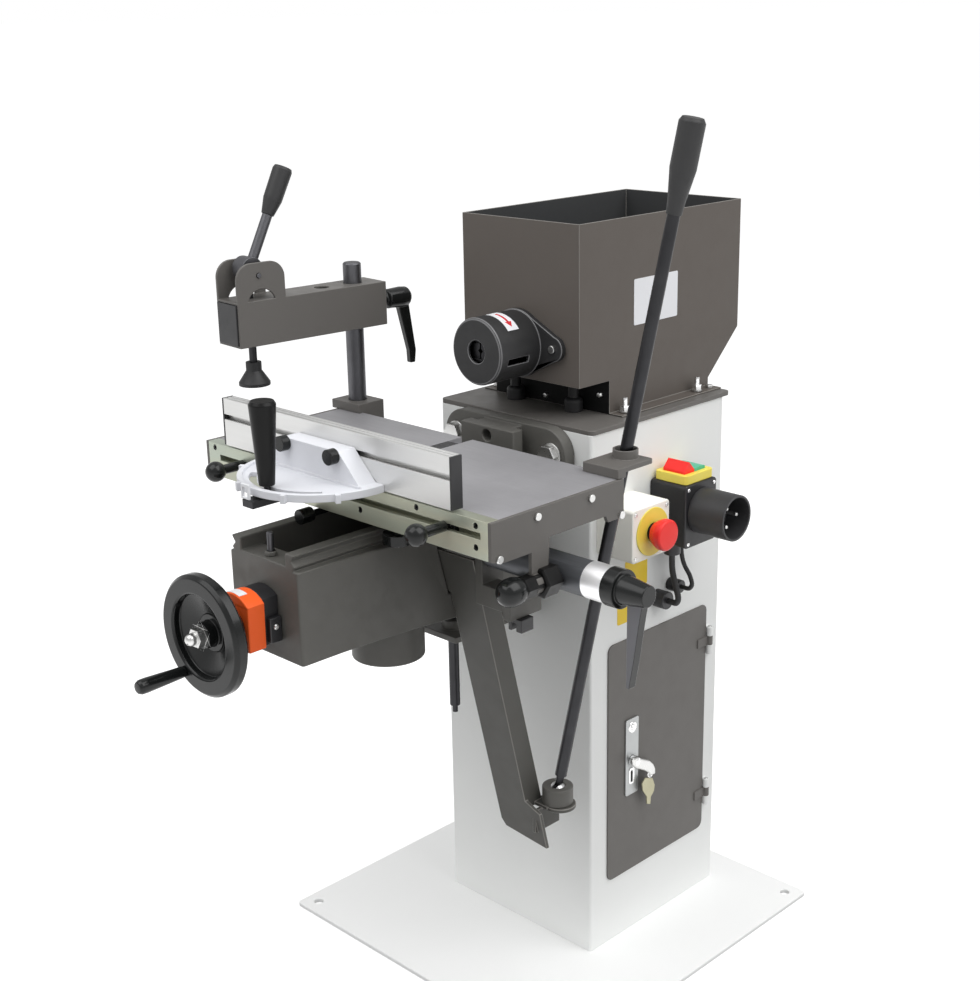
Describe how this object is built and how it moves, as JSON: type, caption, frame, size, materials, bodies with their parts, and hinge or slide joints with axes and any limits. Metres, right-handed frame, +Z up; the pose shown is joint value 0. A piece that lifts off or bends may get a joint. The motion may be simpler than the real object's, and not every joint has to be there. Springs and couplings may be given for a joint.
{
  "type": "horizontal slot mortiser",
  "caption": "Floor-standing slot mortiser: motor spindle over a rising knee, cross table moved by one joystick, mitre fence and cam clamp.",
  "frame": {"origin": "on the floor, under the middle of the cabinet's front face", "axes": "+X along the table to the joystick's side, +Y from the operator to the back, +Z up"},
  "size_m": [0.6377, 0.9072, 1.1206],
  "materials": {
    "cream_paint": "smooth gloss paint",
    "grey_paint": "satin paint",
    "cast_grey": "painted casting",
    "table_grey": "ground face",
    "black_paint": "satin paint",
    "motor_paint": "satin paint",
    "zinc": "zinc plated",
    "steel": "turned steel",
    "dark_steel": "blackened steel",
    "yellow_zinc": "passivated zinc",
    "aluminium": "anodised",
    "cast_alu": "painted casting",
    "black_plastic": "moulded",
    "gloss_black": "polished",
    "rubber": "matte",
    "ivory_plastic": "moulded",
    "yellow_plastic": "moulded",
    "red_plastic": "moulded",
    "green_plastic": "moulded",
    "orange_plastic": "moulded",
    "lead_rubber": "matte"
  },
  "bodies": {
    "frame": {"base_plate": "cream_paint", "cabinet": "cream_paint", "motor_plate": "grey_paint", "hood": "grey_paint", "motor_housing": "motor_paint", "motor_covers": "motor_paint", "chuck_guard": "black_paint", "column_bracket": "cast_grey", "frame_bolts": "zinc", "buffers": "rubber", "lift_nut_plate": "cast_grey", "switch_box": "black_plastic", "inlet_socket": "black_plastic", "estop_box": "ivory_plastic", "yellow_bezels": "yellow_plastic", "cable_glands": "black_plastic", "switch_leads": "lead_rubber"},
    "side_door": {"door": "grey_paint", "door_lock": "steel"},
    "door_handle": {"lock_handle": "zinc"},
    "rotor": {"motor_shaft": "steel", "chuck_body": "steel"},
    "jaw_left": {"chuck_jaw_left": "steel"},
    "jaw_right": {"chuck_jaw_right": "steel"},
    "knee_unit": {"knee": "cast_grey", "lever_arm": "grey_paint", "pivot_cup": "grey_paint", "lift_housing": "cast_grey", "depth_counter": "orange_plastic", "stop_bracket": "cast_grey"},
    "wheel": {"handwheel": "gloss_black", "handwheel_shaft": "steel"},
    "crank": {"crank_handle": "gloss_black"},
    "lift_spindle": {"lift_screw": "dark_steel"},
    "depth_bar": {"stop_bar": "dark_steel", "stop_bar_lever": "gloss_black"},
    "cross_saddle": {"saddle": "cast_grey"},
    "table": {"table_top": "table_grey", "front_rail": "yellow_zinc", "end_plates": "grey_paint", "table_rods": "zinc", "lever_bush": "grey_paint", "clamp_base": "grey_paint"},
    "depth_stop": {"depth_screw": "dark_steel"},
    "stop_left": {"rail_stop_left": "gloss_black"},
    "stop_right": {"rail_stop_right": "gloss_black"},
    "gauge_bar": {"miter_bar": "dark_steel"},
    "gauge": {"miter_gauge": "cast_alu"},
    "gauge_lock": {"miter_handle": "gloss_black"},
    "gauge_fence": {"fence": "aluminium"},
    "post": {"clamp_post": "dark_steel"},
    "work_clamp": {"clamp_arm": "grey_paint"},
    "clamp_lock": {"clamp_handle": "gloss_black"},
    "cam": {"clamp_lever": "dark_steel"},
    "plunger": {"clamp_plunger": "dark_steel"},
    "stick_ball": {"lever_ball": "steel"},
    "stick": {"joystick": "dark_steel"},
    "estop": {"estop_button": "red_plastic"},
    "start_key": {"start_button": "green_plastic"},
    "stop_key": {"stop_button": "red_plastic"}
  },
  "joints": [
    {"name": "door_hinge", "type": "hinge", "parent": "frame", "child": "side_door", "pos_m": [0.1365, 0.246, 0.272], "axis": [0, 0, 1], "range_deg": [0, 110]},
    {"name": "lock_turn", "type": "hinge", "parent": "side_door", "child": "door_handle", "pos_m": [0.14, 0.08, 0.266], "axis": [1, 0, 0], "range_deg": [0, 90]},
    {"name": "spindle_turn", "type": "hinge", "parent": "frame", "child": "rotor", "pos_m": [-0.004, 0.06, 0.828], "axis": [0, 1, 0], "continuous": true},
    {"name": "jaw_left_slide", "type": "slide", "parent": "rotor", "child": "jaw_left", "axis": [-1, 0, 0], "range_m": [0, 0.008]},
    {"name": "jaw_right_slide", "type": "slide", "parent": "rotor", "child": "jaw_right", "axis": [1, 0, 0], "range_m": [0, 0.008]},
    {"name": "knee_lift", "type": "slide", "parent": "frame", "child": "knee_unit", "axis": [0, 0, 1], "range_m": [-0.025, 0.085]},
    {"name": "wheel_turn", "type": "hinge", "parent": "knee_unit", "child": "wheel", "pos_m": [0, -0.48, 0.585], "axis": [0, 1, 0], "range_deg": [-2260, 7660]},
    {"name": "screw_turn", "type": "hinge", "parent": "knee_unit", "child": "lift_spindle", "pos_m": [0, -0.115, 0.48], "axis": [0, 0, 1], "range_deg": [-7660, 2260]},
    {"name": "crank_spin", "type": "hinge", "parent": "wheel", "child": "crank", "pos_m": [-0.032, -0.52, 0.53543], "axis": [0, 1, 0], "continuous": true},
    {"name": "depth_bar_turn", "type": "hinge", "parent": "knee_unit", "child": "depth_bar", "pos_m": [0.25, -0.186, 0.639], "axis": [1, 0, 0], "range_deg": [0, 90]},
    {"name": "saddle_slide", "type": "slide", "parent": "knee_unit", "child": "cross_saddle", "axis": [0, 1, 0], "range_m": [-0.105, 0]},
    {"name": "table_slide", "type": "slide", "parent": "cross_saddle", "child": "table", "axis": [1, 0, 0], "range_m": [-0.1, 0.05]},
    {"name": "depth_screw_slide", "type": "slide", "parent": "table", "child": "depth_stop", "axis": [0, 1, 0], "range_m": [-0.007, 0]},
    {"name": "left_stop_slide", "type": "slide", "parent": "table", "child": "stop_left", "axis": [1, 0, 0], "range_m": [-0.035, 0.06]},
    {"name": "right_stop_slide", "type": "slide", "parent": "table", "child": "stop_right", "axis": [1, 0, 0], "range_m": [-0.05, 0.045]},
    {"name": "gauge_slide", "type": "slide", "parent": "table", "child": "gauge_bar", "axis": [0, 1, 0], "range_m": [-0.06, 0.015]},
    {"name": "gauge_angle", "type": "hinge", "parent": "gauge_bar", "child": "gauge", "pos_m": [0.002, -0.315, 0.735], "axis": [0, 0, 1], "range_deg": [-45, 45]},
    {"name": "gauge_lock_turn", "type": "hinge", "parent": "gauge_bar", "child": "gauge_lock", "pos_m": [0.002, -0.394, 0.77], "axis": [0, 0, 1], "range_deg": [-90, 90]},
    {"name": "fence_slide", "type": "slide", "parent": "gauge", "child": "gauge_fence", "axis": [1, 0, 0], "range_m": [-0.06, 0.06]},
    {"name": "post_swivel", "type": "hinge", "parent": "table", "child": "post", "pos_m": [-0.221, -0.07, 0.8], "axis": [0, 0, 1], "range_deg": [-45, 45]},
    {"name": "clamp_height", "type": "slide", "parent": "post", "child": "work_clamp", "axis": [0, 0, 1], "range_m": [-0.04, 0.02]},
    {"name": "clamp_lock_turn", "type": "hinge", "parent": "work_clamp", "child": "clamp_lock", "pos_m": [-0.21577, -0.01023, 0.864], "axis": [0.0872, 0.9962, 0], "range_deg": [-90, 90]},
    {"name": "cam_turn", "type": "hinge", "parent": "work_clamp", "child": "cam", "pos_m": [-0.23477, -0.2274, 0.924], "axis": [0.9962, -0.0872, 0], "range_deg": [0, 80]},
    {"name": "plunger_slide", "type": "slide", "parent": "work_clamp", "child": "plunger", "axis": [0, 0, -1], "range_m": [0, 0.006]},
    {"name": "stick_side_tilt", "type": "hinge", "parent": "knee_unit", "child": "stick_ball", "pos_m": [0.156, -0.09, 0.296], "axis": [0, 1, 0], "range_deg": [-13, 6.5]},
    {"name": "stick_depth_tilt", "type": "hinge", "parent": "stick_ball", "child": "stick", "pos_m": [0.156, -0.09, 0.296], "axis": [0.986, 0, -0.1666], "range_deg": [0, 15.5]},
    {"name": "estop_push", "type": "slide", "parent": "frame", "child": "estop", "axis": [1, 0, 0], "range_m": [-0.004, 0], "stiffness_N_per_m": 400, "springref_m": 0.002},
    {"name": "start_push", "type": "slide", "parent": "frame", "child": "start_key", "axis": [0, 0, 1], "range_m": [-0.003, 0], "stiffness_N_per_m": 400, "springref_m": 0.001},
    {"name": "stop_push", "type": "slide", "parent": "frame", "child": "stop_key", "axis": [0, 0, 1], "range_m": [-0.003, 0], "stiffness_N_per_m": 400, "springref_m": 0.001}
  ],
  "couplings": [
    {"joint": "jaw_right_slide", "follows": "jaw_left_slide", "ratio": 1},
    {"joint": "wheel_turn", "follows": "knee_lift", "rad_per_m": 1570.8},
    {"joint": "screw_turn", "follows": "knee_lift", "rad_per_m": -1570.8},
    {"joint": "stick_side_tilt", "follows": "table_slide", "rad_per_m": 2.2038},
    {"joint": "stick_depth_tilt", "follows": "saddle_slide", "rad_per_m": -2.2035},
    {"joint": "plunger_slide", "follows": "cam_turn", "m_per_rad": 0.004297}
  ]
}
